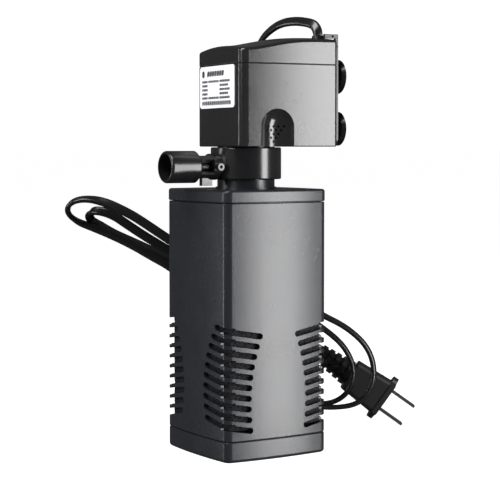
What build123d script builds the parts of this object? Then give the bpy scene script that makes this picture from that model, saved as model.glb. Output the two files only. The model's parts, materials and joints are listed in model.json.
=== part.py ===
from build123d import *
import math
import os

# Internal power filter for an aquarium, in millimetres. +Z is up. The origin is the centre of
# the base, on the axis of the pump and the canister. The outlet nozzle points along -Y and the
# suction cups face +Y.

# Driving dimensions: canister
SIDE = 62.2            # side of the square plan, between sharp corners
BOW = 1.85             # how far each face bulges at its middle
CORNER = 4.0           # plan corner radius
WALL = 1.7
SEAM = 0.3             # gap between parts that come apart
CAP_TOP = 10.8
CAP_EDGE = 1.8         # fillet round the bottom
SHELL_TOP = 134.4
LID_TOP = 141.2
LID_PROUD = 0.2
SEAM_EDGE = 0.4        # chamfer on both sides of each seam
LID_EDGE = 1.4
LIP = 4.0              # height of the lips that locate the cap and the lid in the shell
SLOT_ROWS = 10
SLOT_PITCH = 5.54
SLOT_HEIGHT = 3.2
SLOT_TOP = 68.5        # height of the top row at the corner
SLOT_TILT = 10.0       # the slots climb this steeply towards the middle of the front
SLOT_PAST = 6.0        # length that runs out past the corner
SLOT_REACH_SIDE = 14.6
SLOT_REACH_FRONT = 21.4
SLOT_NARROW_ROW = 6.5  # the row that reaches least round the side

# Driving dimensions: sponge, neck and outlet chamber
SPONGE_SIDE = 57.8
SPONGE_CORNER = 2.0
SPONGE_FOOT = 50.0      # the part that reaches down inside the base cap's lip
SPONGE_BOTTOM = 4.0
SPONGE_TOP = 128.0
CORE_R = 8.0
CORE_BOTTOM = 6.0
NECK_R = 15.5
NECK_TOP = 146.0
CHAMBER_R = 19.0
CHAMBER_TOP = 163.4
CHAMBER_FLOOR = 148.3
CHAMBER_BORE_R = 15.8
SPIGOT_R = 12.0
SPIGOT_BORE_R = 10.0
SPIGOT_BOTTOM = 138.0
FLOOR_HOLE_R = 9.0
SPIDER_BOTTOM = 139.0
SPIDER_TOP = 142.5
BUSH_R = 2.4

# Driving dimensions: outlet nozzle, measured along -Y from the pump axis
NOZZLE_Z = 153.0
PORT_R = 6.8
PORT_END = 19.3
PORT_BORE_R = 4.9
PLUG_IN_R = 4.6
CAGE_R = 7.0
COLLAR_END = 23.4
CAGE_END = 31.2
TAPER_END = 32.8
TUBE_END = 50.0
TUBE_R = 8.5
TUBE_BORE_R = 7.0
CAGE_BORE_R = 4.4
JET_R = 3.4
JET_TIP_R = 2.7
JET_TAPER = 23.0        # where the jet begins to narrow
TAB = (3.0, 6.2, 4.4)   # the small stop under the cage
TAB_AT = 25.1
TAB_DROP = 7.9
RIB = 2.2
NIPPLE_AT = 21.5
NIPPLE_R = 1.9
NIPPLE_ROOT_R = 1.4
NIPPLE_ROOT = 4.8
NIPPLE_BORE_R = 0.9
NIPPLE_FOOT = 7.0       # where the nipple leaves the collar
NIPPLE_TIP = 10.0

# Driving dimensions: pump head, in its own frame, which is turned on the pump axis
HEAD_YAW = -5.7
HEAD_HALF = 27.6
HEAD_FRONT = -16.5
HEAD_BACK = 41.2
FRONT_CORNER = 4.5
BACK_CORNER = 2.0
HEAD_BOTTOM = 163.7
HEAD_SEAM = 207.3
HEAD_EDGE = 0.8        # fillet round the bottom
DECK = 168.2           # top of the housing's floor
POCKET_TOP = 166.2
WELL_R = 9.3
WELL_WALL = 1.2
WELL_TOP = 188.0
NICHE_Y = 5.0
NICHE_HALF = 9.8
NICHE_DEPTH = 5.0
NICHE_TOP = 183.7
VENT_R = 0.62
VENT_ROWS = 5
VENT_TOP = 174.4
VENT_PITCH_Z = 2.0
VENT_PITCH_Y = 2.8
GLAND_X = 15.5
GLAND_Y = 35.8
GLAND_BOTTOM = 207.6
CORD_START = 220.5      # the cord begins inside the gland
GLAND_TOP = 223.4
CROWN = 2.3            # rise of the cover across its middle
COVER_EDGE = 1.6       # fillet round the cover's top
COVER_FOOT = 212.0     # the top's edges all lie above this height
COVER_UPRIGHT = 9.0
LABEL = (42.8, 22.5)
LABEL_X = -1.2
LABEL_Z = 195.6
LABEL_CORNER = 2.0
LABEL_THICK = 0.3

# Driving dimensions: motor
CORE_WIDE = 37.0
CORE_DEEP = 16.0
CORE_LEG = 7.5
CORE_TOP = 203.0
CORE_YOKE = 5.0
COIL = (14.0, 23.0, 7.6)
COIL_Z = 193.8
RESIN_TOP = 205.5

# Driving dimensions: rotor
SHAFT_R = 1.25
RUNNING = 0.05         # radial clearance of the running fits
STEM_R = 3.0
MAGNET_R = 8.6
MAGNET_BOTTOM = 168.6
MAGNET_TOP = 184.3
IMPELLER_R = 14.0
IMPELLER_BOTTOM = 149.5
IMPELLER_TOP = 158.5
BLADES = 6

# Driving dimensions: suction bracket and cups
PLATE_FRONT = 41.5
PLATE_BACK = 43.0
PLATE_HALF = 24.8
PLATE_BOTTOM = 165.0
PLATE_TOP = 220.0
RAIL_X = 7.5
RAIL_TOP = 200.0
RAIL_BOTTOM = 170.0
LUG_X = 23.6
LUG_THICK = 2.2
LUG_FRONT = 35.0
LUG_TOP = 223.9
LUG_BOTTOM = 221.6
LUG_EYE_Y = 39.6
LUG_EYE_R = 0.65
CUP_X = 17.0
CUP_Z = (173.4, 201.5)
CUP_R = 9.2
CUP_STEM_R = 2.2
CUP_REACH = 47.4        # the plane of the suction cups' rims

# Driving dimensions: cord and plug
CORD_D = 5.4
BEND_SHARE = 0.45      # share of the shorter run that each bend takes up
HANK_TURN = 57.8       # the frame of the loose loops is turned by this angle from the row frame
BLADE_GAP = 12.7
BLADE = (16.5, 6.35, 1.5)
BLADE_EYE = (1.5, 4.0)     # radius of the hole in a blade, and its distance from the tip
FLANGE = (3.0, 20.0, 15.0)
FLANGE_EAR_R = 4.2
PLUG_FRONT = (22.4, 14.0)
PLUG_REAR = (19.0, 12.6)
PLUG_LENGTH = 25.0
PLUG_CORNER = 3.0
RELIEF_LENGTH = 25.0
RELIEF_R = (6.4, 4.2)      # core radius at the plug and at the cord
RELIEF_RIB_R = (7.7, 0.5)  # radius of the first rib, and how much each further one loses
RELIEF_RIB = 2.6
RELIEF_PITCH = 4.5
RELIEF_RIBS = 5

# The cord's route: (across, behind, height) in the frame of the loose loops
ROUTE = [
    (38.96, 2.1, 220.5), (38.96, 2.1, 225.0), (37.5, 3.8, 228.9), (34.6, 6.9, 230.9), (27.0, 15.4, 232.6),
    (19.5, 23.0, 232.0), (13.5, 31.0, 228.8), (8.5, 39.0, 224.0), (5.2, 44.5, 217.0), (3.0, 48.0, 205.0),
    (3.5, 49.0, 184.0), (4.5, 50.0, 160.0), (4.0, 50.0, 135.0), (4.5, 50.0, 112.0), (10.5, 50.0, 92.5),
    (24.5, 50.0, 78.0), (43.0, 50.0, 67.5), (59.0, 50.0, 59.5), (71.5, 50.0, 47.0), (74.5, 50.5, 30.0),
    (67.0, 51.0, 16.0), (50.0, 51.5, 12.8), (31.0, 53.0, 15.5), (11.0, 55.0, 31.0), (-8.0, 57.5, 56.0),
    (-26.0, 60.0, 80.5), (-45.6, 61.0, 94.7), (-55.2, 61.5, 99.9), (-65.2, 62.0, 105.8), (-77.2, 62.5, 111.7),
    (-90.8, 62.7, 117.4), (-97.8, 62.1, 120.0), (-103.0, 58.6, 124.5), (-102.8, 53.6, 129.8),
    (-97.0, 50.0, 133.6), (-87.5, 49.5, 133.8), (-77.8, 49.5, 130.8), (-66.0, 49.7, 125.0),
    (-57.2, 50.0, 119.3), (-48.9, 50.2, 113.6), (-40.5, 50.5, 108.1), (-19.0, 52.0, 96.0), (4.0, 54.5, 83.5),
    (26.0, 56.0, 70.5), (44.0, 56.5, 59.5), (57.5, 56.5, 48.0), (63.5, 57.0, 33.5), (58.5, 57.5, 18.8),
    (43.5, 58.5, 12.9), (26.0, 60.0, 22.0), (8.5, 62.5, 41.0), (-9.0, 65.0, 62.5), (-27.5, 67.5, 84.5),
    (-45.8, 68.6, 98.8), (-63.7, 68.9, 107.3), (-77.4, 68.9, 113.2), (-85.6, 68.6, 118.3),
    (-90.5, 67.0, 120.8), (-91.6, 62.5, 123.9), (-89.3, 57.9, 126.8), (-83.4, 56.2, 126.7),
    (-76.1, 56.4, 124.0), (-68.1, 56.8, 118.4), (-59.7, 57.0, 112.8), (-51.3, 57.5, 107.6),
    (-33.0, 58.5, 96.8), (-14.5, 61.5, 85.5), (4.0, 65.0, 73.5), (20.0, 69.0, 60.0),
    (30.97, 70.0, 51.32), (40.74, 70.0, 44.36),
]
PLUG_TIP = (81.5, 70.0, 15.4)      # centre of the plug's face
PLUG_DIP = 35.4                    # degrees the plug points down


def ring_z(outer, inner, low, high):
    """A tube on the pump axis."""
    height = high - low
    tube = Cylinder(outer, height) - Cylinder(inner, height + 1)
    return Pos(0, 0, (low + high) / 2) * tube


def disc_z(radius, low, high):
    return Pos(0, 0, (low + high) / 2) * Cylinder(radius, high - low)


def along_nozzle(radius, start, end):
    """A cylinder on the nozzle's axis from start to end, measured along -Y."""
    middle = (start + end) / 2
    return Pos(0, -middle, NOZZLE_Z) * Rot(90, 0, 0) * Cylinder(radius, end - start)


def cone_nozzle(radius_start, radius_end, start, end):
    """A cone on the nozzle's axis, with its first radius at start."""
    middle = (start + end) / 2
    return Pos(0, -middle, NOZZLE_Z) * Rot(90, 0, 0) * Cone(radius_start, radius_end, end - start)


def bowed_square(side, corner):
    """The canister's plan: a square with bulging sides and rounded corners."""
    half = side / 2
    bulge = half + BOW
    sides = [
        ThreePointArc((-half, -half), (0, -bulge), (half, -half)),
        ThreePointArc((half, -half), (bulge, 0), (half, half)),
        ThreePointArc((half, half), (0, bulge), (-half, half)),
        ThreePointArc((-half, half), (-bulge, 0), (-half, -half)),
    ]
    plan = make_face(Curve() + sides)
    return fillet(plan.vertices(), corner)


def bowed_block(side, corner, low, high):
    return Pos(0, 0, low) * extrude(bowed_square(side, corner), high - low)


def bowed_tube(side, thickness, low, high):
    outer = bowed_block(side, CORNER, low, high)
    inner = bowed_block(side - 2 * thickness, CORNER - thickness / 2, low - 1, high + 1)
    return outer - inner


def slot_cutter(reach):
    """A slot with its corner end at the origin, running along -X and cutting along Y."""
    depth = 2 * (WALL + BOW + 1.5)
    outline = SlotOverall(reach + SLOT_PAST, SLOT_HEIGHT)
    bar = Pos(0, depth / 2, 0) * Rot(90, 0, 0) * extrude(outline, depth)
    return Pos((SLOT_PAST - reach) / 2, 0, 0) * bar


def slot_cutters():
    """The rows of slots that wrap each upright corner, climbing towards the front's middle."""
    half = SIDE / 2
    cutters = []
    for row in range(SLOT_ROWS):
        height = SLOT_TOP - row * SLOT_PITCH
        spread = (SLOT_NARROW_ROW - row) ** 2
        front = Rot(0, SLOT_TILT, 0) * slot_cutter(SLOT_REACH_FRONT - 0.256 * spread)
        side = Rot(0, -SLOT_TILT, 0) * slot_cutter(SLOT_REACH_SIDE + 0.16 * spread)
        corner = [Pos(half, -half, height) * front, Pos(half, -half, height) * Rot(0, 0, -90) * side]
        across = [mirror(cutter, Plane.YZ) for cutter in corner]
        behind = [mirror(cutter, Plane.XZ) for cutter in corner + across]
        cutters += corner + across + behind
    return cutters


def top_edges(shape):
    return shape.faces().sort_by(Axis.Z)[-1].edges()


def bottom_edges(shape):
    return shape.faces().sort_by(Axis.Z)[0].edges()


def canister_shell():
    low = CAP_TOP + SEAM
    outer = bowed_block(SIDE, CORNER, low, SHELL_TOP)
    outer = chamfer(top_edges(outer) + bottom_edges(outer), SEAM_EDGE)
    inner = bowed_block(SIDE - 2 * WALL, CORNER - WALL / 2, low - 1, SHELL_TOP + 1)
    return outer - inner - slot_cutters()


def base_cap():
    cup = bowed_block(SIDE, CORNER, 0, CAP_TOP)
    cup = fillet(bottom_edges(cup), CAP_EDGE)
    cup = chamfer(top_edges(cup), SEAM_EDGE)
    cup -= bowed_block(SIDE - 2 * WALL - 4.0, 2.5, WALL, CAP_TOP + 1)
    lip = bowed_tube(SIDE - 2 * WALL - 2 * SEAM, 1.2, CAP_TOP - 3.0, CAP_TOP + LIP)
    return cup + lip


def canister_lid():
    top = SHELL_TOP + SEAM
    side = SIDE + 2 * LID_PROUD
    lid = bowed_block(side, CORNER + LID_PROUD, top, LID_TOP)
    lid = fillet(top_edges(lid), LID_EDGE)
    lid = chamfer(bottom_edges(lid), SEAM_EDGE)
    lid -= bowed_block(SIDE - 2 * WALL - 4.0, 2.5, top - 1, LID_TOP - WALL)
    lip = bowed_tube(SIDE - 2 * WALL - 2 * SEAM, 1.2, top - LIP, top + 2.0)
    neck = disc_z(NECK_R, LID_TOP - 1.0, NECK_TOP)
    flange = disc_z(NECK_R + 0.8, LID_TOP - 1.0, LID_TOP + 1.0)
    socket = disc_z(SPIGOT_R + 2.0, SPIGOT_BOTTOM - 3.0, LID_TOP)
    lid = lid + lip + neck + flange + socket
    lid -= disc_z(SPIGOT_R + SEAM, SPIGOT_BOTTOM - SEAM, NECK_TOP + 1)
    return lid - disc_z(SPIGOT_BORE_R, SPIGOT_BOTTOM - 5.0, NECK_TOP)


def core_tube():
    """The slotted tube that hangs from the lid inside the sponge."""
    top = SPIGOT_BOTTOM - 3.0
    tube = ring_z(CORE_R, CORE_R - 1.5, CORE_BOTTOM, top)
    flange = ring_z(SPIGOT_R + 1.0, CORE_R - 1.5, top - 2.0, top)
    windows = []
    for level in range(8):
        height = 20.0 + level * 13.0
        window = Pos(0, 0, height) * Box(2 * CORE_R + 2, 3.0, 8.0)
        windows.append(window)
        windows.append(Rot(0, 0, 90) * window)
    return tube - windows + flange


def filter_sponge():
    step = CAP_TOP + LIP + 1.0
    block = bowed_block(SPONGE_SIDE, SPONGE_CORNER, step, SPONGE_TOP)
    foot = bowed_block(SPONGE_FOOT, SPONGE_CORNER, SPONGE_BOTTOM, step)
    return block + foot - disc_z(CORE_R, SPONGE_BOTTOM - 1, SPONGE_TOP + 1)


def outlet_chamber():
    """The impeller's chamber, with a spigot down to the canister and a port for the nozzle."""
    bottom = NECK_TOP + SEAM
    body = disc_z(CHAMBER_R, bottom, CHAMBER_TOP)
    body = fillet(body.edges().filter_by(GeomType.CIRCLE), 0.8)
    body += disc_z(CHAMBER_BORE_R - 0.4, CHAMBER_TOP - 1.0, POCKET_TOP - SEAM)
    body += disc_z(SPIGOT_R, SPIGOT_BOTTOM, bottom + 1.0)
    body += along_nozzle(PORT_R, CHAMBER_BORE_R, PORT_END)
    body -= disc_z(CHAMBER_BORE_R - 1.6, CHAMBER_FLOOR, POCKET_TOP)
    body -= disc_z(SPIGOT_BORE_R, SPIGOT_BOTTOM - 1, 144.0)
    body -= disc_z(FLOOR_HOLE_R, 143.0, CHAMBER_FLOOR + 1)
    return body - along_nozzle(PORT_BORE_R, 10.0, PORT_END + 1)


def intake_spider():
    """Three spokes under the impeller that hold the shaft's lower bush."""
    low = SPIDER_BOTTOM
    high = SPIDER_TOP
    spider = ring_z(SPIGOT_BORE_R, SPIGOT_BORE_R - 1.4, low, high)
    for turn in (90, 210, 330):
        spoke = Pos(SPIGOT_BORE_R / 2 + 0.5, 0, (low + high) / 2) * Box(8.0, 1.6, high - low)
        spider += Rot(0, 0, turn) * spoke
    hub = disc_z(BUSH_R + 1.2, low, high)
    return spider + hub - disc_z(BUSH_R, low - 1, high + 1)


def lower_bush():
    return ring_z(BUSH_R, SHAFT_R + RUNNING, SPIDER_BOTTOM, SPIDER_TOP + 1.0)


def upper_bush():
    return ring_z(STEM_R, SHAFT_R, MAGNET_TOP + SEAM, WELL_TOP)


def rotor_shaft():
    return disc_z(SHAFT_R, 140.0, WELL_TOP - 0.5)


def neck_seal():
    """The ring in the spigot's groove; it nearly touches the neck's bore."""
    return ring_z(SPIGOT_R + 0.24, SPIGOT_R, 142.6, 144.8)


def chamber_seal():
    return ring_z(CHAMBER_BORE_R - 0.16, CHAMBER_BORE_R - 0.4, 164.0, 165.4)


def impeller():
    wheel = disc_z(STEM_R + 1.6, IMPELLER_BOTTOM, IMPELLER_TOP)
    middle = (IMPELLER_BOTTOM + IMPELLER_TOP) / 2
    reach = IMPELLER_R - STEM_R
    for blade in range(BLADES):
        vane = Pos(STEM_R + reach / 2, 0, middle) * Box(reach, 1.4, IMPELLER_TOP - IMPELLER_BOTTOM)
        wheel += Rot(0, 0, blade * 360 / BLADES) * vane
    wheel += disc_z(IMPELLER_R - 2.0, IMPELLER_TOP - 1.2, IMPELLER_TOP)
    wheel += disc_z(STEM_R, IMPELLER_TOP - 1, MAGNET_TOP)
    wheel += disc_z(STEM_R + 1.6, IMPELLER_TOP - 1, MAGNET_BOTTOM)
    return wheel - disc_z(SHAFT_R + RUNNING, IMPELLER_BOTTOM - 1, MAGNET_TOP + 1)


def rotor_magnet():
    return ring_z(MAGNET_R, STEM_R, MAGNET_BOTTOM, MAGNET_TOP)


def outlet_nozzle():
    """Plug-in tube, collar, four-ribbed air cage and wide outlet tube in one moulding."""
    collar = along_nozzle(CAGE_R, PORT_END + SEAM, COLLAR_END)
    nozzle = collar + along_nozzle(PLUG_IN_R, CHAMBER_BORE_R + SEAM, PORT_END + 1.0)
    nozzle += cone_nozzle(CAGE_R, TUBE_R, CAGE_END, TAPER_END)
    tube = along_nozzle(TUBE_R, TAPER_END, TUBE_END)
    nozzle += fillet(tube.edges().filter_by(GeomType.CIRCLE).sort_by(Axis.Y)[0], 1.3)
    middle = (COLLAR_END + CAGE_END) / 2
    length = CAGE_END - COLLAR_END + 1.0
    for turn in range(4):
        rib = Pos(CAGE_R - RIB / 2, 0, 0) * Box(RIB, length, RIB + 0.6)
        nozzle += Pos(0, -middle, NOZZLE_Z) * Rot(0, 45 + turn * 90, 0) * rib
    nozzle += Pos(0, -TAB_AT, NOZZLE_Z - TAB_DROP) * Box(*TAB)
    nozzle -= along_nozzle(JET_R, CHAMBER_BORE_R, PORT_END + 1.0)
    nozzle -= along_nozzle(CAGE_BORE_R, PORT_END + 1.0, CAGE_END + 0.5)
    nozzle -= cone_nozzle(CAGE_BORE_R, TUBE_BORE_R, CAGE_END + 0.5, TAPER_END + 0.5)
    nozzle -= along_nozzle(TUBE_BORE_R, TAPER_END + 0.5, TUBE_END + 1)
    return nozzle - across_nozzle(NIPPLE_ROOT_R, NIPPLE_ROOT, NIPPLE_TIP)


def jet_insert():
    """The narrow jet that draws air in through the cage."""
    start = CHAMBER_BORE_R + 1.0
    jet = along_nozzle(JET_R, start, JET_TAPER) + cone_nozzle(JET_R, JET_TIP_R, JET_TAPER, CAGE_END)
    return jet - cone_nozzle(JET_R - 0.8, JET_TIP_R - 1.0, start - 0.01, CAGE_END + 0.01)


def across_nozzle(radius, start, end):
    """A cylinder along +X at the nipple's place on the collar."""
    return Pos((start + end) / 2, -NIPPLE_AT, NOZZLE_Z) * Rot(0, 90, 0) * Cylinder(radius, end - start)


def air_nipple():
    nipple = across_nozzle(NIPPLE_ROOT_R, NIPPLE_ROOT, NIPPLE_FOOT + 0.5)
    nipple += across_nozzle(NIPPLE_R, NIPPLE_FOOT, NIPPLE_TIP)
    return nipple - across_nozzle(NIPPLE_BORE_R, NIPPLE_ROOT - 1.0, NIPPLE_TIP + 1.0)


def head_plan(inset):
    """The pump head's plan, with large front corners and small back ones."""
    width = 2 * (HEAD_HALF - inset)
    depth = HEAD_BACK - HEAD_FRONT - 2 * inset
    plan = Pos(0, (HEAD_BACK + HEAD_FRONT) / 2) * Rectangle(width, depth)
    front = plan.vertices().group_by(Axis.Y)[0]
    plan = fillet(front, FRONT_CORNER - inset)
    return fillet(plan.vertices().group_by(Axis.Y)[-1], max(BACK_CORNER - inset, 0.6))


def head_block(inset, low, high):
    return Pos(0, 0, low) * extrude(head_plan(inset), high - low)


def niche(side, extra):
    """The arched hollow in a side wall; extra grows it to the thickness of the wall behind."""
    radius = (NICHE_HALF ** 2 + NICHE_DEPTH ** 2) / (2 * NICHE_DEPTH)
    centre_x = HEAD_HALF + radius - NICHE_DEPTH
    spring = NICHE_TOP - NICHE_HALF
    low = HEAD_BOTTOM - 1.0
    column = Pos(centre_x, NICHE_Y, (low + spring) / 2) * Cylinder(radius + extra, spring - low)
    dome = Pos(centre_x, NICHE_Y, spring) * Sphere(radius + extra)
    shape = column + dome
    return shape if side > 0 else mirror(shape, Plane.YZ)


def vent_holes(side):
    """Rows of 5, 4, 3, 2 and 1 small blind holes in the niche."""
    radius = (NICHE_HALF ** 2 + NICHE_DEPTH ** 2) / (2 * NICHE_DEPTH)
    centre_x = HEAD_HALF + radius - NICHE_DEPTH
    spring = NICHE_TOP - NICHE_HALF
    holes = []
    for row in range(VENT_ROWS):
        height = VENT_TOP - VENT_PITCH_Z * row
        count = VENT_ROWS - row
        for place in range(count):
            offset = (place - (count - 1) / 2) * VENT_PITCH_Y
            rise = max(height - spring, 0)
            surface = centre_x - math.sqrt(radius ** 2 - offset ** 2 - rise ** 2)
            start = surface - 1.2
            hole = Rot(0, 90, 0) * Cylinder(VENT_R, 4.0)
            holes.append(Pos(side * (start + 2.0), NICHE_Y + offset, height) * hole)
    return holes


def bracket_rails():
    """Two T-shaped rails on the housing's back that the bracket slides down over."""
    middle = (RAIL_TOP + RAIL_BOTTOM) / 2
    height = RAIL_TOP - RAIL_BOTTOM
    rails = []
    for side in (-1, 1):
        stem = Pos(side * RAIL_X, HEAD_BACK + 1.2, middle) * Box(2.6, 2.8, height)
        head = Pos(side * RAIL_X, PLATE_BACK + SEAM + 0.6, middle) * Box(5.6, 1.2, height)
        rails += [stem, head]
    return rails


def motor_housing():
    housing = head_block(0, HEAD_BOTTOM, HEAD_SEAM)
    housing = fillet(bottom_edges(housing), HEAD_EDGE)
    housing = chamfer(top_edges(housing), SEAM_EDGE)
    cavity = head_block(WALL, DECK, HEAD_SEAM + 1)
    cavity -= disc_z(WELL_R + WELL_WALL, DECK - 1, WELL_TOP + WELL_WALL)
    cavity -= niche(1, WALL)
    cavity -= niche(-1, WALL)
    housing -= cavity
    housing -= niche(1, 0)
    housing -= niche(-1, 0)
    housing -= vent_holes(1) + vent_holes(-1)
    housing -= disc_z(CHAMBER_BORE_R, HEAD_BOTTOM - 1, POCKET_TOP)
    housing -= disc_z(WELL_R, HEAD_BOTTOM, WELL_TOP)
    for rail in bracket_rails():
        housing += rail
    return housing


def cover_section(x, drop):
    """The cover's outline in a plane across X: flat below, an easy S rising to the back above."""
    rise = CROWN * (1 - (x / HEAD_HALF) ** 2) - drop
    front = HEAD_FRONT - 2.0
    back = HEAD_BACK + 2.0
    heights = [(front, 214.9), (-8.0, 215.6), (2.0, 217.4), (14.0, 219.5), (27.0, 220.4), (back, 220.5)]
    crest = [(x, y, z + rise) for y, z in heights]
    low = HEAD_SEAM - 5.0
    top = Spline(*crest)
    rest = Polyline(crest[-1], (x, back, low), (x, front, low), crest[0])
    return make_face(Curve() + [top, rest])


def cover_form(drop):
    wide = HEAD_HALF + 2.0
    places = (-wide, -wide / 2, 0, wide / 2, wide)
    return loft([cover_section(x, drop) for x in places])


def is_level(edge):
    """True for the edges round the cover's top, which rise less than its upright corners."""
    return edge.length > 1.0 and edge.bounding_box().size.Z < COVER_UPRIGHT


def motor_cover():
    block = head_block(0, HEAD_SEAM + 0.01, 230.0) & cover_form(0)
    upper = [edge for edge in block.edges() if edge.center().Z > COVER_FOOT and is_level(edge)]
    block = fillet(upper, COVER_EDGE)
    block = chamfer(bottom_edges(block), SEAM_EDGE)
    hollow = head_block(WALL, HEAD_SEAM - 1, 230.0) & cover_form(2.2)
    return block - hollow - gland_outline()


def gland_outline():
    """A collar inside the cover, then a taper where the cord leaves."""
    straight = CORD_START - GLAND_BOTTOM
    inside = Pos(GLAND_X, GLAND_Y, GLAND_BOTTOM + straight / 2) * Cylinder(3.9, straight)
    height = GLAND_TOP - CORD_START
    taper = Pos(GLAND_X, GLAND_Y, CORD_START + height / 2) * Cone(3.9, 3.3, height)
    return inside + taper


def cord_gland():
    return gland_outline() - Pos(GLAND_X, GLAND_Y, CORD_START + 5.0) * Cylinder(CORD_D / 2, 10.0)


def stator_core():
    legs = Pos(0, 0, (DECK + CORE_TOP) / 2) * Box(CORE_WIDE, CORE_DEEP, CORE_TOP - DECK)
    window = CORE_TOP - CORE_YOKE - DECK
    legs -= Pos(0, 0, DECK + window / 2 - 1.0) * Box(CORE_WIDE - 2 * CORE_LEG, CORE_DEEP + 1, window + 2.0)
    return legs - disc_z(WELL_R + WELL_WALL + 0.4, DECK - 1, WELL_TOP + 1.6)


def stator_coils():
    """A bobbin round each leg, above the rotor."""
    coils = []
    for side in (-1, 1):
        bobbin = Box(*COIL) - Box(CORE_LEG, CORE_DEEP, COIL[2] + 1)
        coils.append(Pos(side * (CORE_WIDE - CORE_LEG) / 2, 0, COIL_Z) * bobbin)
    return coils


def sealing_resin(core, coils):
    fill = head_block(WALL, DECK, RESIN_TOP)
    fill -= disc_z(WELL_R + WELL_WALL, DECK - 1, WELL_TOP + WELL_WALL)
    fill -= niche(1, WALL)
    fill -= niche(-1, WALL)
    fill -= core
    return fill - coils


def rating_label():
    plate = extrude(RectangleRounded(*LABEL, LABEL_CORNER), LABEL_THICK)
    return Pos(LABEL_X, HEAD_FRONT, LABEL_Z) * Rot(90, 0, 0) * plate


def bracket_lug(side):
    """A small upright ear over the cover's edge, with an eye through it."""
    post_block = Box(LUG_THICK, PLATE_BACK - PLATE_FRONT, 2 * (LUG_TOP - PLATE_TOP))
    post = Pos(side * LUG_X, (PLATE_FRONT + PLATE_BACK) / 2, PLATE_TOP) * post_block
    ear_block = Box(LUG_THICK, PLATE_BACK - LUG_FRONT, LUG_TOP - LUG_BOTTOM)
    ear = Pos(side * LUG_X, (LUG_FRONT + PLATE_BACK) / 2, (LUG_TOP + LUG_BOTTOM) / 2) * ear_block
    eye = Pos(side * LUG_X, LUG_EYE_Y, (LUG_TOP + LUG_BOTTOM) / 2) * Rot(0, 90, 0) * Cylinder(LUG_EYE_R, 6.0)
    return post + ear - eye


def suction_bracket():
    middle = (PLATE_FRONT + PLATE_BACK) / 2
    thick = PLATE_BACK - PLATE_FRONT
    outline = RectangleRounded(2 * PLATE_HALF, PLATE_TOP - PLATE_BOTTOM, 3.0)
    plate = Rot(90, 0, 0) * extrude(outline, thick)
    plate = Pos(0, middle + thick / 2, (PLATE_TOP + PLATE_BOTTOM) / 2) * plate
    height = RAIL_TOP + SEAM - PLATE_BOTTOM + 1.0
    for side in (-1, 1):
        plate -= Pos(side * RAIL_X, middle, PLATE_BOTTOM - 1.0 + height / 2) * Box(3.2, 4.0, height)
        plate += bracket_lug(side)
        for height_at in CUP_Z:
            plate -= Pos(side * CUP_X, middle, height_at) * Rot(90, 0, 0) * Cylinder(CUP_STEM_R, 4.0)
    return plate


def suction_cup(side, height):
    """A soft cup on a stem that is pressed through the plate."""
    stem = [(0, PLATE_FRONT + 0.1), (CUP_STEM_R, PLATE_FRONT + 0.1), (CUP_STEM_R, PLATE_BACK)]
    back = [(3.4, PLATE_BACK), (3.4, 43.9), (5.4, 44.4), (7.6, 45.4), (CUP_R, CUP_REACH - 0.1)]
    hollow = [(CUP_R - 0.7, CUP_REACH), (6.6, 46.2), (4.0, 45.3), (0, 44.8)]
    outline = stem + back + hollow
    profile = make_face(Polyline(*outline, close=True))
    cup = revolve(profile, Axis.Y)
    return Pos(side * CUP_X, 0, height) * cup


def suction_cups():
    places = [(side, height) for height in CUP_Z for side in (-1, 1)]
    return {f"suction_cup_{n + 1}": suction_cup(*place) for n, place in enumerate(places)}


def from_hank(point):
    """A point of the loops' frame in the row frame."""
    across, behind, height = point
    angle = math.radians(HANK_TURN)
    x = across * math.cos(angle) - behind * math.sin(angle)
    y = across * math.sin(angle) + behind * math.cos(angle)
    return Vector(x, y, height)


def bend_radii(points):
    """Each bend takes up its share of the shorter run beside it."""
    radii = []
    for before, corner, after in zip(points, points[1:], points[2:]):
        run_in = corner - before
        run_out = after - corner
        turn = math.radians(run_in.get_angle(run_out))
        shorter = min(run_in.length, run_out.length)
        radii.append(BEND_SHARE * shorter / math.tan(turn / 2))
    return radii


def mains_cord():
    points = [from_hank(point) for point in ROUTE]
    radii = bend_radii(points)
    path = FilletPolyline(*points, radius=radii)
    start = Plane(origin=points[0], z_dir=points[1] - points[0])
    cord = sweep(start * Circle(CORD_D / 2), path=path)
    section = math.pi * CORD_D ** 2 / 4
    print("cord length", round(path.length, 1), "volume ratio", round(cord.volume / section / path.length, 4))
    print("bend radii", [round(radius, 1) for radius in radii])
    return cord


def plug_frame():
    """The plug's own frame: +X out of its face, +Y across both blades, +Z behind."""
    angle = math.radians(PLUG_DIP)
    face = from_hank(PLUG_TIP)
    forward = from_hank((math.cos(angle), 0, -math.sin(angle)))
    up = from_hank((math.sin(angle), 0, math.cos(angle)))
    return Plane(origin=face, x_dir=forward, z_dir=forward.cross(up))


def plug_body():
    thick, across, deep = FLANGE
    flange = Pos(-thick / 2, 0, 0) * Box(thick, across, deep)
    for side in (-1, 1):
        flange += Pos(-thick / 2, side * across / 2, 0) * Rot(0, 90, 0) * Cylinder(FLANGE_EAR_R, thick)
    front = Plane.YZ * RectangleRounded(*PLUG_FRONT, PLUG_CORNER)
    rear = Pos(-PLUG_LENGTH, 0, 0) * (Plane.YZ * RectangleRounded(*PLUG_REAR, PLUG_CORNER))
    return plug_frame() * (flange + loft([front, rear]))


def plug_relief():
    """Ribbed taper between the cord and the plug."""
    middle = -PLUG_LENGTH - RELIEF_LENGTH / 2
    sleeve = Pos(middle, 0, 0) * Rot(0, -90, 0) * Cone(*RELIEF_R, RELIEF_LENGTH)
    first, step = RELIEF_RIB_R
    for rib in range(RELIEF_RIBS):
        place = -PLUG_LENGTH - RELIEF_RIB - rib * RELIEF_PITCH
        ridge = Cylinder(first - rib * step, RELIEF_RIB)
        sleeve += Pos(place, 0, 0) * Rot(0, -90, 0) * ridge
    return plug_frame() * sleeve


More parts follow.
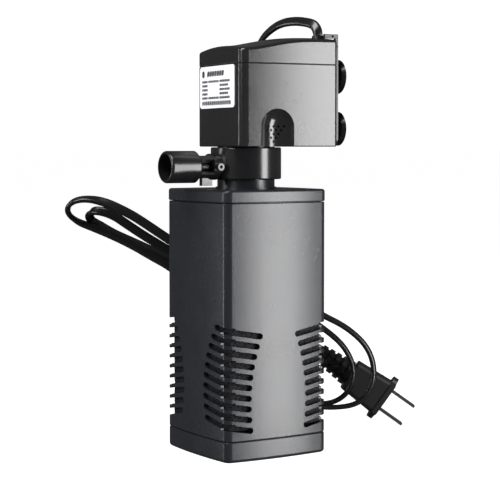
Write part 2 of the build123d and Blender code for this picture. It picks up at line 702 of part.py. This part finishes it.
def plug_blades():
    length, width, thick = BLADE
    eye_r, eye_back = BLADE_EYE
    blades = []
    for side in (-1, 1):
        blade = Pos(length / 2, side * BLADE_GAP / 2, 0) * Box(length, thick, width)
        eye = Pos(length - eye_back, side * BLADE_GAP / 2, 0) * Rot(90, 0, 0) * Cylinder(eye_r, 4.0)
        blades.append(plug_frame() * (blade - eye))
    return blades


def head_parts():
    core = stator_core()
    coils = stator_coils()
    parts = {
        "motor_housing": motor_housing(), "motor_cover": motor_cover(), "stator_core": core,
        "stator_coils": coils, "sealing_resin": sealing_resin(core, coils),
        "rating_label": rating_label(), "cord_gland": cord_gland(), "suction_bracket": suction_bracket(),
    }
    parts.update(suction_cups())
    return {name: turned(shape) for name, shape in parts.items()}


def turned(shape):
    """Turn a part of the pump head, or each of several, on the pump axis."""
    if isinstance(shape, list):
        return [Rot(0, 0, HEAD_YAW) * one for one in shape]
    return Rot(0, 0, HEAD_YAW) * shape


def axis_parts():
    return {
        "rotor_shaft": rotor_shaft(), "upper_bush": upper_bush(), "impeller": impeller(),
        "rotor_magnet": rotor_magnet(), "outlet_chamber": outlet_chamber(),
        "intake_spider": intake_spider(), "lower_bush": lower_bush(), "chamber_seal": chamber_seal(),
        "neck_seal": neck_seal(), "outlet_nozzle": outlet_nozzle(), "jet_insert": jet_insert(),
        "air_nipple": air_nipple(), "canister_lid": canister_lid(), "core_tube": core_tube(),
        "filter_sponge": filter_sponge(), "canister_shell": canister_shell(), "base_cap": base_cap(),
    }


def cord_parts():
    return {
        "mains_cord": mains_cord(), "plug_relief": plug_relief(), "plug_body": plug_body(),
        "plug_blades": plug_blades(),
    }


def save(name, shape):
    solid = Compound(children=shape) if isinstance(shape, list) else shape
    export_step(solid, f"parts/{name}.step")


os.makedirs("parts", exist_ok=True)
for name, shape in {**head_parts(), **axis_parts(), **cord_parts()}.items():
    save(name, shape)
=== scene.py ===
import json
import math

import bpy
from mathutils import Matrix, Vector, noise


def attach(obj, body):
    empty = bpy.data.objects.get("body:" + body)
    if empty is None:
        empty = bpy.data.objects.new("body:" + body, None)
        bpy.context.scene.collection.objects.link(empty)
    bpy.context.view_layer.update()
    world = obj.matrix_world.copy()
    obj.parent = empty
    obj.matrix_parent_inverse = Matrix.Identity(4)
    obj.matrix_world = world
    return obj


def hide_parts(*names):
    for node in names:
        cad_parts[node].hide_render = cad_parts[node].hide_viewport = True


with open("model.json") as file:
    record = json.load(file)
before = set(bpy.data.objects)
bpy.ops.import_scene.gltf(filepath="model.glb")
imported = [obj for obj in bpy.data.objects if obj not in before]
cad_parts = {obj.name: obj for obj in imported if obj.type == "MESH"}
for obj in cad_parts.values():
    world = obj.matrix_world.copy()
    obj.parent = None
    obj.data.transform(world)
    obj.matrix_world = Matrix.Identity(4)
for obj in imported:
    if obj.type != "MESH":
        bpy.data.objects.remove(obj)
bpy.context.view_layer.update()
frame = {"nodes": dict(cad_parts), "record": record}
nodes = frame["nodes"]
record = frame["record"]
MM = 0.001

# ---------------------------------------------------------------- the object's own directions
HEAD_YAW = math.radians(-5.7)          # the pump head is turned on the pump axis
HANK_TURN = math.radians(57.8)         # the cord's loops lie across this direction
VIEW_TURN = math.radians(57.8)         # the camera looks from this azimuth


def from_head(x, y, z):
    """A point of the pump head's frame, in millimetres, in the row frame, in metres."""
    return Matrix.Rotation(HEAD_YAW, 3, "Z") @ (Vector((x, y, z)) * MM)


def from_hank(across, behind, height):
    """A point or direction of the loops' frame, in the row frame, in the same unit."""
    return Matrix.Rotation(HANK_TURN, 3, "Z") @ Vector((across, behind, height))


# ---------------------------------------------------------------- materials
NOISE_ROUGHNESS = 0.55
SHEEN_SCALE = 45.0        # slow changes of sheen and tone over a moulding
TONE_GAIN = 1.35          # the lighter tone of a moulding, against its own colour
TONE_LIFT = 0.004
MOULD_GRAIN = 0.00012     # depths of the surface grain, in metres
METAL_GRAIN = 0.00008
FOAM_GRAIN = 0.0005
LINE_SCALE = 900.0        # drawn lines on metal
LINE_STRENGTH = 0.15
METAL_SHADE = 0.7         # the darker tone between the lines
METAL_SHINE = 0.08        # how far the roughness goes down and up between the lines
METAL_DULL = 0.1
PORE_SCALE = 900.0


def new_material(name):
    """A new material, with its node tree's nodes and links."""
    material = bpy.data.materials.new(name)
    material.use_nodes = True
    return material, material.node_tree.nodes, material.node_tree.links


def object_coords(tree_nodes):
    return tree_nodes.new("ShaderNodeTexCoord").outputs["Object"]


def add_noise(tree_nodes, links, coords, scale, detail):
    """A grey noise of so many cells a metre."""
    texture = tree_nodes.new("ShaderNodeTexNoise")
    texture.inputs["Scale"].default_value = scale
    texture.inputs["Detail"].default_value = detail
    texture.inputs["Roughness"].default_value = NOISE_ROUGHNESS
    links.new(coords, texture.inputs["Vector"])
    return texture.outputs["Fac"]


def add_ramp(tree_nodes, links, source, low, high, start=0.3, end=0.7):
    """Maps a grey source, from start to end, to the values from low to high."""
    mapping = tree_nodes.new("ShaderNodeMapRange")
    mapping.inputs["From Min"].default_value = start
    mapping.inputs["From Max"].default_value = end
    mapping.inputs["To Min"].default_value = low
    mapping.inputs["To Max"].default_value = high
    links.new(source, mapping.inputs["Value"])
    return mapping.outputs["Result"]


def add_colours(tree_nodes, links, factor, dark, light):
    """Tints the shader from dark to light along a grey source."""
    mix = tree_nodes.new("ShaderNodeMix")
    mix.data_type = "RGBA"
    links.new(factor, mix.inputs["Factor"])
    mix.inputs["A"].default_value = (*dark, 1)
    mix.inputs["B"].default_value = (*light, 1)
    links.new(mix.outputs["Result"], tree_nodes["Principled BSDF"].inputs["Base Color"])


def add_bumps(tree_nodes, links, height, strength, distance):
    """Raises the shader's surface along a grey source."""
    bumps = tree_nodes.new("ShaderNodeBump")
    bumps.inputs["Strength"].default_value = strength
    bumps.inputs["Distance"].default_value = distance
    links.new(height, bumps.inputs["Height"])
    links.new(bumps.outputs["Normal"], tree_nodes["Principled BSDF"].inputs["Normal"])


def moulded(name, colour, roughness, grain, bump, spread=0.03, specular=0.5):
    """Moulded plastic or rubber: fine surface grain and slow changes of sheen."""
    material, tree_nodes, links = new_material(name)
    shader = tree_nodes["Principled BSDF"]
    coords = object_coords(tree_nodes)
    fine = add_noise(tree_nodes, links, coords, grain, 2.0)
    slow = add_noise(tree_nodes, links, coords, SHEEN_SCALE, 4.0)
    light = tuple(c * TONE_GAIN + TONE_LIFT for c in colour)
    add_colours(tree_nodes, links, slow, colour, light)
    sheen = add_ramp(tree_nodes, links, slow, roughness - spread, roughness + spread, 0.1, 0.9)
    links.new(sheen, shader.inputs["Roughness"])
    add_bumps(tree_nodes, links, fine, bump, MOULD_GRAIN)
    shader.inputs["Specular IOR Level"].default_value = specular
    return material


def metal(name, colour, roughness, stretch):
    """Metal with faint drawn or rolled lines along one direction."""
    material, tree_nodes, links = new_material(name)
    shader = tree_nodes["Principled BSDF"]
    mapping = tree_nodes.new("ShaderNodeMapping")
    mapping.inputs["Scale"].default_value = stretch
    links.new(object_coords(tree_nodes), mapping.inputs["Vector"])
    lines = add_noise(tree_nodes, links, mapping.outputs["Vector"], LINE_SCALE, 4.0)
    dark = tuple(c * METAL_SHADE for c in colour)
    add_colours(tree_nodes, links, lines, dark, colour)
    sheen = add_ramp(tree_nodes, links, lines, roughness - METAL_SHINE, roughness + METAL_DULL)
    links.new(sheen, shader.inputs["Roughness"])
    shader.inputs["Metallic"].default_value = 1.0
    add_bumps(tree_nodes, links, lines, LINE_STRENGTH, METAL_GRAIN)
    return material


def foam(name):
    """Open-cell foam: small round pores with painted shade in them, very dull."""
    material, tree_nodes, links = new_material(name)
    shader = tree_nodes["Principled BSDF"]
    pores = tree_nodes.new("ShaderNodeTexVoronoi")
    pores.inputs["Scale"].default_value = PORE_SCALE
    links.new(object_coords(tree_nodes), pores.inputs["Vector"])
    depth = add_ramp(tree_nodes, links, pores.outputs["Distance"], 0.0, 1.0, 0.1, 0.6)
    # the colour darkens towards each pore's bottom: painted shade in the pits
    add_colours(tree_nodes, links, depth, (0.004, 0.004, 0.005), (0.022, 0.022, 0.025))
    shader.inputs["Roughness"].default_value = 0.95
    shader.inputs["Specular IOR Level"].default_value = 0.15
    add_bumps(tree_nodes, links, depth, 0.9, FOAM_GRAIN)
    return material


# Each moulding: colour, roughness, cells of grain a metre, strength of the grain, and, where they
# differ from the usual, the spread of the roughness and the specular level
MOULDINGS = {
    "head_plastic": ((0.010, 0.010, 0.011), 0.15, 1800, 0.2),
    "canister_plastic": ((0.011, 0.012, 0.015), 0.27, 1500, 0.35, 0.03, 0.42),
    "chamber_plastic": ((0.007, 0.007, 0.008), 0.20, 2600, 0.1),
    "nozzle_plastic": ((0.007, 0.007, 0.008), 0.24, 2600, 0.15, 0.04),
    "bracket_plastic": ((0.008, 0.008, 0.009), 0.35, 2400, 0.3),
    "plug_plastic": ((0.008, 0.008, 0.009), 0.38, 1800, 0.3),
    "cord_rubber": ((0.006, 0.006, 0.007), 0.26, 1500, 0.1, 0.04),
    "soft_rubber": ((0.006, 0.006, 0.007), 0.24, 1800, 0.1, 0.04),
    "impeller_plastic": ((0.70, 0.70, 0.66), 0.35, 2200, 0.1),
    "label": ((0.80, 0.81, 0.82), 0.35, 1500, 0.05),
    "resin": ((0.015, 0.015, 0.016), 0.22, 300, 0.2),
    "magnet": ((0.045, 0.045, 0.05), 0.5, 1200, 0.4),
    "ceramic": ((0.80, 0.79, 0.75), 0.18, 1500, 0.05),
    "print_ink": ((0.03, 0.03, 0.04), 0.5, 1500, 0.05),
}

# Each metal: colour, roughness, and how much finer its lines are along each axis
METALS = {
    "lamination": ((0.32, 0.32, 0.34), 0.45, (1, 6, 1)),
    "copper_wire": ((0.62, 0.27, 0.12), 0.28, (1, 1, 8)),
    "blade_metal": ((0.20, 0.20, 0.21), 0.36, (1, 1, 6)),
}

MATERIALS = {name: moulded(name, *look) for name, look in MOULDINGS.items()}
MATERIALS.update({name: metal(name, *look) for name, look in METALS.items()})
MATERIALS["sponge"] = foam("sponge")


def dress_cad_nodes():
    """Every CAD node takes the finish of its record slot."""
    for part in record["subparts"]:
        for place in nodes[part["node"]].material_slots:
            place.material = MATERIALS[part["material_slot"]]


# ---------------------------------------------------------------- mesh helpers
def make_piece(name, verts, faces, slot, body, smooth=True):
    """A new mesh that rides on a body."""
    mesh = bpy.data.meshes.new(name)
    mesh.from_pydata(verts, [], faces)
    mesh.update()
    piece = bpy.data.objects.new(name, mesh)
    bpy.context.scene.collection.objects.link(piece)
    mesh.materials.append(MATERIALS[slot])
    for face in mesh.polygons:
        face.use_smooth = smooth
    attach(piece, body)
    return piece


# ---------------------------------------------------------------- cord
CORD_WIDTH = 5.4
CORD_THICK = 2.9
GROOVE = 0.86           # half thickness of the cord between its two cores, as a share of theirs
SECTION_STEPS = 7       # points round each rounded edge of the flat cord
LINE_STEPS = 14         # points read from each span of the route's spline

# The cord's route: (across, behind, height) in the loops' frame, in metres
ROUTE = [
    (0.03896, 0.0021, 0.2205), (0.03896, 0.0021, 0.225), (0.0375, 0.0038, 0.2289),
    (0.0346, 0.0069, 0.2309), (0.027, 0.0154, 0.2326), (0.0195, 0.023, 0.232), (0.0135, 0.031, 0.2288),
    (0.0085, 0.039, 0.224), (0.0052, 0.0445, 0.217), (0.003, 0.048, 0.205), (0.0035, 0.049, 0.184),
    (0.0045, 0.05, 0.16), (0.004, 0.05, 0.135), (0.0045, 0.05, 0.112), (0.0105, 0.05, 0.0925),
    (0.0245, 0.05, 0.078), (0.043, 0.05, 0.0675), (0.059, 0.05, 0.0595), (0.0715, 0.05, 0.047),
    (0.0745, 0.0505, 0.03), (0.067, 0.051, 0.016), (0.05, 0.0515, 0.0128), (0.031, 0.053, 0.0155),
    (0.011, 0.055, 0.031), (-0.008, 0.0575, 0.056), (-0.026, 0.06, 0.0805), (-0.0456, 0.061, 0.0947),
    (-0.0552, 0.0615, 0.0999), (-0.0652, 0.062, 0.1058), (-0.0772, 0.0625, 0.1117),
    (-0.0908, 0.0627, 0.1174), (-0.0978, 0.0621, 0.12), (-0.103, 0.0586, 0.1245),
    (-0.1028, 0.0536, 0.1298), (-0.097, 0.05, 0.1336), (-0.0875, 0.0495, 0.1338),
    (-0.0778, 0.0495, 0.1308), (-0.066, 0.0497, 0.125), (-0.0572, 0.05, 0.1193), (-0.0489, 0.0502, 0.1136),
    (-0.0405, 0.0505, 0.1081), (-0.019, 0.052, 0.096), (0.004, 0.0545, 0.0835), (0.026, 0.056, 0.0705),
    (0.044, 0.0565, 0.0595), (0.0575, 0.0565, 0.048), (0.0635, 0.057, 0.0335), (0.0585, 0.0575, 0.0188),
    (0.0435, 0.0585, 0.0129), (0.026, 0.06, 0.022), (0.0085, 0.0625, 0.041), (-0.009, 0.065, 0.0625),
    (-0.0275, 0.0675, 0.0845), (-0.0458, 0.0686, 0.0988), (-0.0637, 0.0689, 0.1073),
    (-0.0774, 0.0689, 0.1132), (-0.0856, 0.0686, 0.1183), (-0.0905, 0.067, 0.1208),
    (-0.0916, 0.0625, 0.1239), (-0.0893, 0.0579, 0.1268), (-0.0834, 0.0562, 0.1267),
    (-0.0761, 0.0564, 0.124), (-0.0681, 0.0568, 0.1184), (-0.0597, 0.057, 0.1128),
    (-0.0513, 0.0575, 0.1076), (-0.033, 0.0585, 0.0968), (-0.0145, 0.0615, 0.0855), (0.004, 0.065, 0.0735),
    (0.02, 0.069, 0.06), (0.03097, 0.07, 0.05132), (0.04074, 0.07, 0.04436),
]

# How the flat cord's width lies along its way: (number of the route's point, direction in the loops' frame)
WIDTHS = [
    (0, (0.40, 0.30, 0.87)), (7, (0.40, 0.30, 0.87)), (10, (0.8, 0.6, 0.0)), (14, (0.25, 0.95, 0.2)),
    (20, (0.25, 0.95, -0.2)), (24, (0.0, 0.85, 0.52)), (27, (0.0, 0.785, 0.62)), (30, (0.0, 0.785, 0.62)),
    (32, (0.0, 1.0, 0.0)), (34, (0.2, 0.9, 0.4)), (37, (0.5, 0.0, 0.87)), (40, (0.5, 0.0, 0.87)),
    (43, (0.1, 0.95, 0.2)), (49, (0.25, 0.95, -0.2)), (52, (0.0, 0.785, 0.62)), (56, (0.0, 0.785, 0.62)),
    (58, (0.75, 0.65, 0.1)), (60, (0.35, 0.3, 0.8)), (61, (0.5, 0.0, 0.87)), (65, (0.5, 0.0, 0.87)),
    (68, (0.5, 0.1, 0.8)), (70, (0.58, 0.0, 0.81)),
]


def cord_line():
    """The smooth line of the cord, as points read from its NURBS spline."""
    curve = bpy.data.curves.new("cord_route", "CURVE")
    curve.dimensions = "3D"
    curve.resolution_u = LINE_STEPS
    spline = curve.splines.new("NURBS")
    spline.points.add(len(ROUTE) - 1)
    for place, point in zip(spline.points, ROUTE):
        place.co = (*from_hank(*point), 1.0)
    spline.order_u = 3
    spline.use_endpoint_u = True
    holder = bpy.data.objects.new("cord_route", curve)
    bpy.context.scene.collection.objects.link(holder)
    mesh = bpy.data.meshes.new_from_object(holder)
    points = [vert.co.copy() for vert in mesh.vertices]
    bpy.data.objects.remove(holder)
    bpy.data.meshes.remove(mesh)
    return points


def width_at(share):
    """The flat cord's width direction at a share of the way along the route's points."""
    place = share * (len(ROUTE) - 1)
    for (start, first), (end, last) in zip(WIDTHS, WIDTHS[1:]):
        if place <= end:
            blend = max(0.0, min(1.0, (place - start) / (end - start)))
            blend = blend * blend * (3 - 2 * blend)
            return from_hank(*(Vector(first).lerp(Vector(last), blend))).normalized()
    return from_hank(*WIDTHS[-1][1]).normalized()


def flat_section():
    """The outline of the twin cord: two rounded cores with a shallow groove between them."""
    radius = CORD_THICK / 2
    centre = CORD_WIDTH / 2 - radius
    outline = []
    for side, start in ((1, -90), (-1, 90)):
        for step in range(SECTION_STEPS + 1):
            angle = math.radians(start + 180 * step / SECTION_STEPS)
            outline.append((side * centre + radius * math.cos(angle), radius * math.sin(angle)))
        outline.append((0.0, side * radius * GROOVE))
    return [(x * MM, y * MM) for x, y in outline]


def make_cord():
    """The flat twin cord, as a tube of its own section along the route's line."""
    points = cord_line()
    section = flat_section()
    count = len(section)
    verts = []
    for place, point in enumerate(points):
        before = points[max(place - 1, 0)]
        after = points[min(place + 1, len(points) - 1)]
        forward = (after - before).normalized()
        across = width_at(place / (len(points) - 1))
        across = (across - forward * across.dot(forward)).normalized()
        through = forward.cross(across)
        verts += [point + across * x + through * y for x, y in section]
    faces = []
    for ring in range(len(points) - 1):
        for side in range(count):
            low = ring * count
            nxt = (side + 1) % count
            faces.append((low + side, low + nxt, low + count + nxt, low + count + side))
    faces.append(tuple(reversed(range(count))))
    faces.append(tuple(range((len(points) - 1) * count, len(points) * count)))
    cord = make_piece("flat_cord", verts, faces, "cord_rubber", "pump_head")
    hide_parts("mains_cord")


# ---------------------------------------------------------------- sponge
FOAM_VOXEL = 1.1          # the foam's skin, in millimetres
FOAM_SINK = 0.05
PIT_DEPTH = 0.6
PIT_SCALE = 420.0         # wide and narrow pits a metre
NARROW_PIT_SCALE = 900.0
NARROW_PIT_SHARE = 0.5


def pit_at(place):
    """How deep the foam's skin is pitted at a place, from 0 to about 1."""
    wide = max(0.0, noise.noise(place * PIT_SCALE))
    narrow = max(0.0, noise.noise(place * NARROW_PIT_SCALE))
    return wide + NARROW_PIT_SHARE * narrow


def make_sponge():
    """The foam block, with a finely pitted skin."""
    source = nodes["filter_sponge"]
    piece = bpy.data.objects.new("foam_sponge", source.data.copy())
    bpy.context.scene.collection.objects.link(piece)
    piece.data.materials.clear()
    piece.data.materials.append(MATERIALS["sponge"])
    remesh = piece.modifiers.new("remesh", "REMESH")
    remesh.mode = "VOXEL"
    remesh.voxel_size = FOAM_VOXEL * MM
    graph = bpy.context.evaluated_depsgraph_get()
    mesh = bpy.data.meshes.new_from_object(piece.evaluated_get(graph))
    piece.modifiers.clear()
    piece.data = mesh
    moved = []
    for vert in mesh.vertices:
        depth = FOAM_SINK + PIT_DEPTH * pit_at(vert.co)
        moved.append(vert.co - vert.normal * depth * MM)
    for vert, place in zip(mesh.vertices, moved):
        vert.co = place
    for face in mesh.polygons:
        face.use_smooth = True
    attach(piece, "canister_top")
    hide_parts("filter_sponge")


# ---------------------------------------------------------------- label print
LABEL_FACE = -16.8        # the label's outer face, along the head's Y
LABEL_LEFT = -22.6
LABEL_TOP = 206.85
MARK_LIFTS = (-0.01, -0.06)    # where a mark's back and front lie, past the label's face
MARK_CLIP = 0.25          # cut off a mark's corners, as a share of its smaller side
LINES = 5
LINES_TOP = 7.5           # the first line's distance below the label's top
LINE_PITCH = 2.2

# Each run of marks: how many, the first one's left edge, their pitch, width and height
TITLE = (7, 9.0, 3.0, 2.6, 3.0)
EMBLEM = (1, 3.0, 0.0, 3.0, 3.6)
LEFT_WORDS = (4, 3.0, 1.75, 1.5, 1.35)
MIDDLE_WORDS = (6, 11.0, 2.2, 1.8, 1.3)
RIGHT_WORDS_LONG = (6, 25.0, 2.1, 1.8, 1.3)
RIGHT_WORDS_SHORT = (5, 25.0, 2.1, 1.8, 1.3)
FOOT = (15, 3.0, 2.4, 1.9, 2.3)
TITLE_TOP = 2.5
TITLE_SLANT = 0.3
EMBLEM_TOP = 2.3
FOOT_TOP = 18.6


def add_mark(verts, faces, left, top, width, height, slant):
    """One printed mark with clipped corners, a hair proud of the label."""
    clip = min(width, height) * MARK_CLIP
    outline = [
        (clip, 0), (width - clip, 0), (width, clip), (width, height - clip), (width - clip, height),
        (clip, height), (0, height - clip), (0, clip),
    ]
    start = len(verts)
    for lift in MARK_LIFTS:
        for x, down in outline:
            lean = slant * (height - down)
            verts.append(from_head(LABEL_LEFT + left + x + lean, LABEL_FACE + lift, LABEL_TOP - top - down))
    count = len(outline)
    faces.append(tuple(range(start + count, start + 2 * count)))
    faces.append(tuple(reversed(range(start, start + count))))
    for side in range(count):
        nxt = (side + 1) % count
        faces.append((start + side, start + nxt, start + count + nxt, start + count + side))


def add_marks(verts, faces, run, top, slant=0.0):
    """A run of equal marks side by side."""
    count, left, pitch, width, height = run
    for place in range(count):
        add_mark(verts, faces, left + place * pitch, top, width, height, slant)


def make_label_print():
    """Plain printed bars in rows, in place of any wording."""
    verts = []
    faces = []
    add_marks(verts, faces, TITLE, TITLE_TOP, TITLE_SLANT)
    add_marks(verts, faces, EMBLEM, EMBLEM_TOP)
    for line in range(LINES):
        top = LINES_TOP + line * LINE_PITCH
        add_marks(verts, faces, LEFT_WORDS, top)
        add_marks(verts, faces, RIGHT_WORDS_SHORT if line % 2 else RIGHT_WORDS_LONG, top)
        if line in (0, LINES - 1):
            add_marks(verts, faces, MIDDLE_WORDS, top)
    add_marks(verts, faces, FOOT, FOOT_TOP)
    piece = make_piece("label_print", verts, faces, "print_ink", "pump_head", smooth=False)


# ---------------------------------------------------------------- stage, light and camera
CAMERA_DISTANCE = 0.826
CAMERA_HEIGHT = 0.163
CAMERA_SIDE = 0.0022      # how far the camera stands to the right of the pump's axis
FOCAL_SHARE = 3.06        # focal length, in widths of the picture
SENSOR = 36.0
HORIZON_RISE = 0.204      # how far the horizon is above the middle, in widths of the picture
SHIFT = 0.09
FLOOR_REACH = 200.0
FLOOR_COLOUR = (0.5, 0.5, 0.5, 1)
FLOOR_GLOW = 0.95         # added where the camera sees the floor, so that it is white there
WORLD_LIGHT = 0.08        # the world's strength as a light, and as the camera sees it
WORLD_SEEN = 1.05
WHITE = (1, 1, 1, 1)

# Each lamp: its place (right, away, up) from the camera's side, the height that it points at on the
# pump's axis, its width and height, and its watts
LIGHTS = {
    "key": ((0.4465, -0.2257, 0.085), 0.085, 0.172, 0.43, 3.5),
    "left_strip": ((-1.0, 0.0, 0.2), 0.13, 0.08, 0.8, 2.5),
    "fill": ((-0.7, -0.6, 0.45), 0.17, 0.3, 0.3, 3.5),
    "top": ((-0.35, -0.45, 1.0), 0.15, 0.5, 0.4, 9),
}


def from_view(right, away, up):
    """A place told from the camera's side: to the right, away from the camera, and up."""
    return Matrix.Rotation(VIEW_TURN, 3, "Z") @ Vector((right, away, up))


def make_camera():
    data = bpy.data.cameras.new("camera")
    data.sensor_width = SENSOR
    data.lens = FOCAL_SHARE * SENSOR
    data.shift_y = -SHIFT
    camera = bpy.data.objects.new("camera", data)
    bpy.context.scene.collection.objects.link(camera)
    camera.location = from_view(CAMERA_SIDE, -CAMERA_DISTANCE, CAMERA_HEIGHT)
    tilt = math.atan((HORIZON_RISE - SHIFT) / FOCAL_SHARE)
    camera.rotation_euler = (math.pi / 2 - tilt, 0, VIEW_TURN)
    bpy.context.scene.camera = camera


def soft_light(name, place, target, width, height, power):
    """A rectangular lamp that points at a target."""
    data = bpy.data.lights.new(name, "AREA")
    data.shape = "RECTANGLE"
    data.size = width
    data.size_y = height
    data.energy = power
    light = bpy.data.objects.new(name, data)
    bpy.context.scene.collection.objects.link(light)
    light.location = place
    light.rotation_euler = (target - place).to_track_quat("-Z", "Y").to_euler()


def make_lights():
    for name, (place, aim, width, height, power) in LIGHTS.items():
        soft_light(name, from_view(*place), Vector((0, 0, aim)), width, height, power)


def add_camera_switch(tree, otherwise, for_camera):
    """A value that is another one where the camera looks straight at the surface."""
    path = tree.nodes.new("ShaderNodeLightPath")
    value = tree.nodes.new("ShaderNodeMapRange")
    value.inputs["To Min"].default_value = otherwise
    value.inputs["To Max"].default_value = for_camera
    tree.links.new(path.outputs["Is Camera Ray"], value.inputs["Value"])
    return value.outputs["Result"]


def hide_from_reflections(tree, surface):
    """Shows a surface to the camera and to diffuse light, and to nothing else."""
    path = tree.nodes.new("ShaderNodeLightPath")
    shown = tree.nodes.new("ShaderNodeMath")
    shown.operation = "MAXIMUM"
    tree.links.new(path.outputs["Is Camera Ray"], shown.inputs[0])
    tree.links.new(path.outputs["Is Diffuse Ray"], shown.inputs[1])
    clear = tree.nodes.new("ShaderNodeBsdfTransparent")
    mix = tree.nodes.new("ShaderNodeMixShader")
    tree.links.new(shown.outputs["Value"], mix.inputs["Fac"])
    tree.links.new(clear.outputs["BSDF"], mix.inputs[1])
    tree.links.new(surface, mix.inputs[2])
    tree.links.new(mix.outputs["Shader"], tree.nodes["Material Output"].inputs["Surface"])


def make_stage():
    """A white floor that stays white into the distance; reflections look past it, as on a raised sheet."""
    mesh = bpy.data.meshes.new("floor")
    corners = [(-1, -1), (1, -1), (1, 1), (-1, 1)]
    mesh.from_pydata([(x * FLOOR_REACH, y * FLOOR_REACH, 0) for x, y in corners], [], [(0, 1, 2, 3)])
    plane = bpy.data.objects.new("floor", mesh)
    bpy.context.scene.collection.objects.link(plane)
    material, tree_nodes, links = new_material("floor_paper")
    shader = tree_nodes["Principled BSDF"]
    shader.inputs["Base Color"].default_value = FLOOR_COLOUR
    shader.inputs["Roughness"].default_value = 0.7
    shader.inputs["Specular IOR Level"].default_value = 0.2
    shader.inputs["Emission Color"].default_value = WHITE
    glow = add_camera_switch(material.node_tree, 0.0, FLOOR_GLOW)
    links.new(glow, shader.inputs["Emission Strength"])
    hide_from_reflections(material.node_tree, shader.outputs["BSDF"])
    mesh.materials.append(material)


def make_world():
    """White where the camera looks past the object, dimmer for the light that falls on it."""
    world = bpy.data.worlds.new("studio")
    bpy.context.scene.world = world
    world.use_nodes = True
    tree = world.node_tree
    background = tree.nodes["Background"]
    background.inputs["Color"].default_value = WHITE
    strength = add_camera_switch(tree, WORLD_LIGHT, WORLD_SEEN)
    tree.links.new(strength, background.inputs["Strength"])
    bpy.context.scene.view_settings.view_transform = "Standard"


dress_cad_nodes()
make_camera()
make_lights()
make_stage()
make_world()
make_cord()
make_sponge()
make_label_print()
